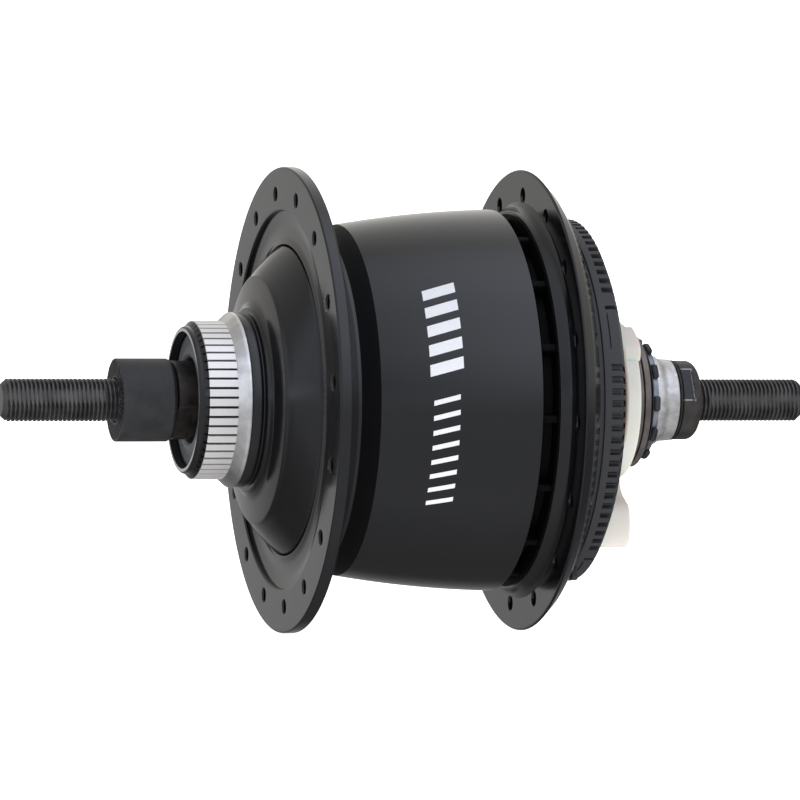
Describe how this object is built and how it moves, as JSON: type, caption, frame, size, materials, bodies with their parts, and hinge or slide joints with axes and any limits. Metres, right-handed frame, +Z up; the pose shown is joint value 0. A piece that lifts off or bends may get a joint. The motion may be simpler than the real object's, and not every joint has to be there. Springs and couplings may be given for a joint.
{
  "type": "bicycle hub gear",
  "caption": "Internally geared rear bicycle hub: a flanged shell turns on a threaded fixed axle, with a splined disc seat on the left and a sprocket driver and gear selector ring on the right.",
  "frame": {"origin": "on the axle, midway between the two dropout faces", "axes": "+X along the axle towards the drive side, +Z up, -Y towards a viewer with the drive side on the right"},
  "size_m": [0.187, 0.1042, 0.1042],
  "materials": {
    "black_anodised": "gloss black anodised aluminium",
    "spline_bright": "bare machined aluminium on the rotor spline",
    "black_plastic": "black moulded plastic",
    "axle_steel": "dark brownish black-oxide steel",
    "locknut_black": "matt black steel",
    "plated_steel": "zinc plated steel, scratched",
    "disc_bronze": "dark brown-grey steel",
    "selector_black": "black steel with worn edges",
    "gear_steel": "ground and hardened steel",
    "ivory_plastic": "ivory moulded plastic",
    "seal_rubber": "dark grey rubber",
    "pale_graphic": "pale printed stripes"
  },
  "bodies": {
    "axle_group": {"axle": "axle_steel", "left_locknut": "locknut_black", "left_cone": "axle_steel", "high_sun_gear": "gear_steel", "sun_spacer": "gear_steel", "low_sun_gear": "gear_steel", "right_cone": "plated_steel", "right_lock_washer": "axle_steel", "right_locknut": "axle_steel"},
    "selector": {"selector_ring": "selector_black", "shift_cam": "gear_steel"},
    "shell": {"hub_shell": "black_anodised", "brake_side_end_cap": "black_anodised", "left_dust_seal": "seal_rubber", "drive_side_cup": "gear_steel", "drive_side_dust_cap": "black_plastic", "high_ring_gear": "gear_steel", "roller_clutch": "gear_steel"},
    "driver_group": {"driver": "gear_steel", "low_ring_gear": "gear_steel", "driver_inner_disc": "disc_bronze", "driver_outer_disc": "disc_bronze", "retaining_clip": "ivory_plastic"},
    "carrier": {"planet_carrier": "gear_steel", "planet_pin_1": "gear_steel", "planet_pin_2": "gear_steel", "planet_pin_3": "gear_steel"},
    "left_bearing": {"left_ball_cage": "gear_steel"},
    "driver_bearing": {"driver_ball_cage": "gear_steel"},
    "shell_bearing": {"shell_ball_cage": "gear_steel"},
    "low_planet_1_body": {"low_planet_1": "gear_steel"},
    "low_planet_2_body": {"low_planet_2": "gear_steel"},
    "low_planet_3_body": {"low_planet_3": "gear_steel"},
    "high_planet_1_body": {"high_planet_1": "gear_steel"},
    "high_planet_2_body": {"high_planet_2": "gear_steel"},
    "high_planet_3_body": {"high_planet_3": "gear_steel"}
  },
  "joints": [
    {"name": "shell_spin", "type": "hinge", "parent": "axle_group", "child": "shell", "pos_m": [0, 0, 0], "axis": [1, 0, 0], "continuous": true},
    {"name": "selector_turn", "type": "hinge", "parent": "axle_group", "child": "selector", "pos_m": [0, 0, 0], "axis": [1, 0, 0], "range_deg": [-77, 77]},
    {"name": "driver_spin", "type": "hinge", "parent": "axle_group", "child": "driver_group", "pos_m": [0, 0, 0], "axis": [1, 0, 0], "continuous": true},
    {"name": "carrier_spin", "type": "hinge", "parent": "axle_group", "child": "carrier", "pos_m": [0, 0, 0], "axis": [1, 0, 0], "continuous": true},
    {"name": "left_bearing_spin", "type": "hinge", "parent": "axle_group", "child": "left_bearing", "pos_m": [0, 0, 0], "axis": [1, 0, 0], "continuous": true},
    {"name": "driver_bearing_spin", "type": "hinge", "parent": "axle_group", "child": "driver_bearing", "pos_m": [0, 0, 0], "axis": [1, 0, 0], "continuous": true},
    {"name": "shell_bearing_spin", "type": "hinge", "parent": "axle_group", "child": "shell_bearing", "pos_m": [0, 0, 0], "axis": [1, 0, 0], "continuous": true},
    {"name": "low_planet_1_spin", "type": "hinge", "parent": "carrier", "child": "low_planet_1_body", "pos_m": [0, 0, 0.0231], "axis": [1, 0, 0], "continuous": true},
    {"name": "high_planet_1_spin", "type": "hinge", "parent": "carrier", "child": "high_planet_1_body", "pos_m": [0, 0, 0.0231], "axis": [1, 0, 0], "continuous": true},
    {"name": "low_planet_2_spin", "type": "hinge", "parent": "carrier", "child": "low_planet_2_body", "pos_m": [0, -0.02001, -0.01155], "axis": [1, 0, 0], "continuous": true},
    {"name": "high_planet_2_spin", "type": "hinge", "parent": "carrier", "child": "high_planet_2_body", "pos_m": [0, -0.02001, -0.01155], "axis": [1, 0, 0], "continuous": true},
    {"name": "low_planet_3_spin", "type": "hinge", "parent": "carrier", "child": "low_planet_3_body", "pos_m": [0, 0.02001, -0.01155], "axis": [1, 0, 0], "continuous": true},
    {"name": "high_planet_3_spin", "type": "hinge", "parent": "carrier", "child": "high_planet_3_body", "pos_m": [0, 0.02001, -0.01155], "axis": [1, 0, 0], "continuous": true}
  ],
  "couplings": [
    {"joint": "driver_spin", "follows": "shell_spin", "ratio": 0.96296},
    {"joint": "carrier_spin", "follows": "shell_spin", "ratio": 0.61905},
    {"joint": "left_bearing_spin", "follows": "shell_spin", "ratio": 0.6},
    {"joint": "driver_bearing_spin", "follows": "shell_spin", "ratio": 0.56173},
    {"joint": "shell_bearing_spin", "follows": "shell_spin", "ratio": 0.98253},
    {"joint": "low_planet_1_spin", "follows": "shell_spin", "ratio": 1.5476},
    {"joint": "high_planet_1_spin", "follows": "shell_spin", "ratio": 1.981},
    {"joint": "low_planet_2_spin", "follows": "shell_spin", "ratio": 1.5476},
    {"joint": "high_planet_2_spin", "follows": "shell_spin", "ratio": 1.981},
    {"joint": "low_planet_3_spin", "follows": "shell_spin", "ratio": 1.5476},
    {"joint": "high_planet_3_spin", "follows": "shell_spin", "ratio": 1.981}
  ]
}
